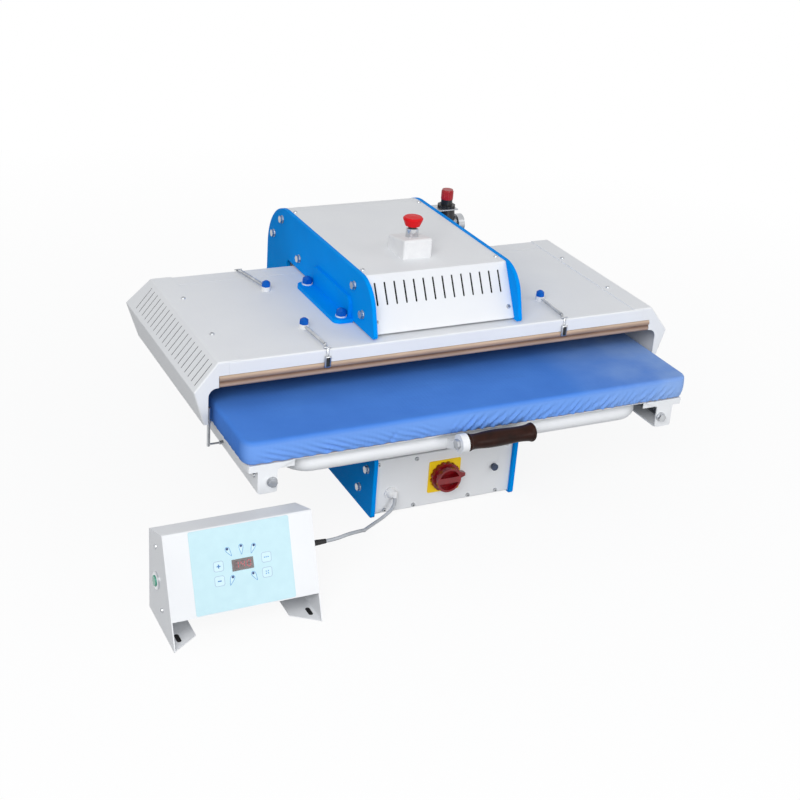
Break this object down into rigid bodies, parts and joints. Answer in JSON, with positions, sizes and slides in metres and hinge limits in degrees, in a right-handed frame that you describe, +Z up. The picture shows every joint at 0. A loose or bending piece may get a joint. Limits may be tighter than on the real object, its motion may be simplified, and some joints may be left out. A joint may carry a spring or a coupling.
{
  "type": "flatbed fusing press",
  "caption": "Bench-top pneumatic flatbed heat press with a pull-out padded drawer, heated overhead platen, C-shaped frame and a separate tilted controller on a cable.",
  "frame": {"origin": "on the bench, at the centre of the base's underside", "axes": "+X to the operator's right, +Y to the back of the press, +Z up; the drawer pulls out towards -Y"},
  "size_m": [1.1167, 0.8676, 0.5205],
  "materials": {
    "white_paint": "satin white powder coat",
    "blue_paint": "semi-gloss blue powder coat",
    "zinc_steel": "zinc-plated steel",
    "grey_steel": "plain steel",
    "chrome": "polished chrome",
    "bronze": "sintered bronze",
    "cast_aluminium": "machined aluminium",
    "insulation": "pressed fibre insulation",
    "ptfe_cloth": "brown coated glass cloth",
    "blue_cloth": "blue heat-proof cotton",
    "foam": "firm pressing foam",
    "board": "plywood board",
    "brown_grip": "dark brown turned grip",
    "blue_plastic": "glossy blue cap",
    "white_plastic": "white plastic",
    "black_plastic": "black plastic",
    "red_plastic": "glossy red plastic",
    "dark_red_plastic": "glossy dark red plastic",
    "navy_plastic": "navy plastic",
    "green_plastic": "green button plastic",
    "yellow_plate": "yellow plate",
    "overlay": "pale blue printed overlay",
    "black_rubber": "black moulded rubber",
    "grey_cable": "light grey cable jacket"
  },
  "bodies": {
    "frame": {"left_frame_plate": "blue_paint", "right_frame_plate": "blue_paint", "tie_bars": "zinc_steel", "frame_bolts": "zinc_steel", "head_cover": "white_paint", "rear_cover": "white_paint", "panel_screws": "zinc_steel", "base_front_panel": "white_paint", "base_bottom_plate": "zinc_steel", "base_deck": "grey_steel", "guide_bushes": "bronze", "cylinder_barrel": "cast_aluminium", "solenoid_valve": "black_plastic", "platen_brackets": "blue_paint", "platen_posts": "zinc_steel", "dome_caps": "blue_plastic", "cap_spacers": "white_plastic", "heated_platen": "cast_aluminium", "heating_elements": "grey_steel", "insulation_board": "insulation", "platen_cover": "white_paint", "left_end_cover": "white_paint", "right_end_cover": "white_paint", "ptfe_sheet": "ptfe_cloth", "sheet_tensioners": "grey_steel", "tray_sensor": "zinc_steel", "estop_box": "white_plastic", "button_collars": "chrome", "switch_plate": "yellow_plate", "switch_bodies": "black_plastic", "cable_glands": "white_plastic", "regulator_bracket": "zinc_steel", "regulator_body": "cast_aluminium", "regulator_bonnet": "black_plastic", "pressure_gauge": "black_plastic", "controller_case": "white_paint", "controller_back": "white_paint", "control_overlay": "overlay", "strain_relief": "black_rubber", "controller_cable": "grey_cable"},
    "lift": {"lift_frame": "grey_steel", "lift_columns": "chrome", "slide_outer_members": "zinc_steel"},
    "slides": {"slide_middle_members": "zinc_steel"},
    "tray": {"slide_inner_members": "zinc_steel", "tray_side_rails": "white_paint", "tray_frame": "white_paint", "tray_bolts": "zinc_steel", "buck_board": "board", "buck_pad": "foam", "buck_cover": "blue_cloth", "pull_tube": "white_paint", "handle_grip": "brown_grip"},
    "estop_stem": {"estop_stem": "black_plastic"},
    "estop_head": {"estop_head": "red_plastic"},
    "switch_knob": {"switch_knob": "dark_red_plastic"},
    "reset_button": {"reset_button": "navy_plastic"},
    "start_button": {"start_button": "green_plastic"},
    "regulator_knob": {"regulator_knob": "red_plastic"},
    "gauge_needle": {"gauge_needle": "red_plastic"}
  },
  "joints": [
    {"name": "lift_raise", "type": "slide", "parent": "frame", "child": "lift", "axis": [0, 0, 1], "range_m": [0, 0.035]},
    {"name": "tray_pull", "type": "slide", "parent": "lift", "child": "tray", "axis": [0, -1, 0], "range_m": [-0.143, 0.045]},
    {"name": "slide_extend", "type": "slide", "parent": "lift", "child": "slides", "axis": [0, -1, 0], "range_m": [-0.0715, 0.0225]},
    {"name": "estop_press", "type": "slide", "parent": "frame", "child": "estop_stem", "axis": [0, 0, -1], "range_m": [0, 0.004], "stiffness_N_per_m": 1500, "springref_m": -0.004},
    {"name": "estop_twist", "type": "hinge", "parent": "estop_stem", "child": "estop_head", "pos_m": [-0.012, -0.092, 0.51], "axis": [0, 0, 1], "range_deg": [0, 45]},
    {"name": "main_switch_turn", "type": "hinge", "parent": "frame", "child": "switch_knob", "pos_m": [-0.001, -0.29, 0.064], "axis": [0, -1, 0], "range_deg": [0, 90]},
    {"name": "reset_press", "type": "slide", "parent": "frame", "child": "reset_button", "axis": [0, 1, 0], "range_m": [0, 0.002], "stiffness_N_per_m": 1000, "springref_m": -0.002},
    {"name": "start_press", "type": "slide", "parent": "frame", "child": "start_button", "axis": [1, 0, 0], "range_m": [0, 0.003], "stiffness_N_per_m": 1000, "springref_m": -0.002},
    {"name": "regulator_turn", "type": "hinge", "parent": "frame", "child": "regulator_knob", "pos_m": [0.195, 0.16, 0.465], "axis": [0, 0, 1], "range_deg": [-540, 540]},
    {"name": "gauge_read", "type": "hinge", "parent": "frame", "child": "gauge_needle", "pos_m": [0.231, 0.16, 0.4015], "axis": [-1, 0, 0], "range_deg": [0, 270]}
  ],
  "couplings": [
    {"joint": "slide_extend", "follows": "tray_pull", "ratio": 0.5}
  ]
}
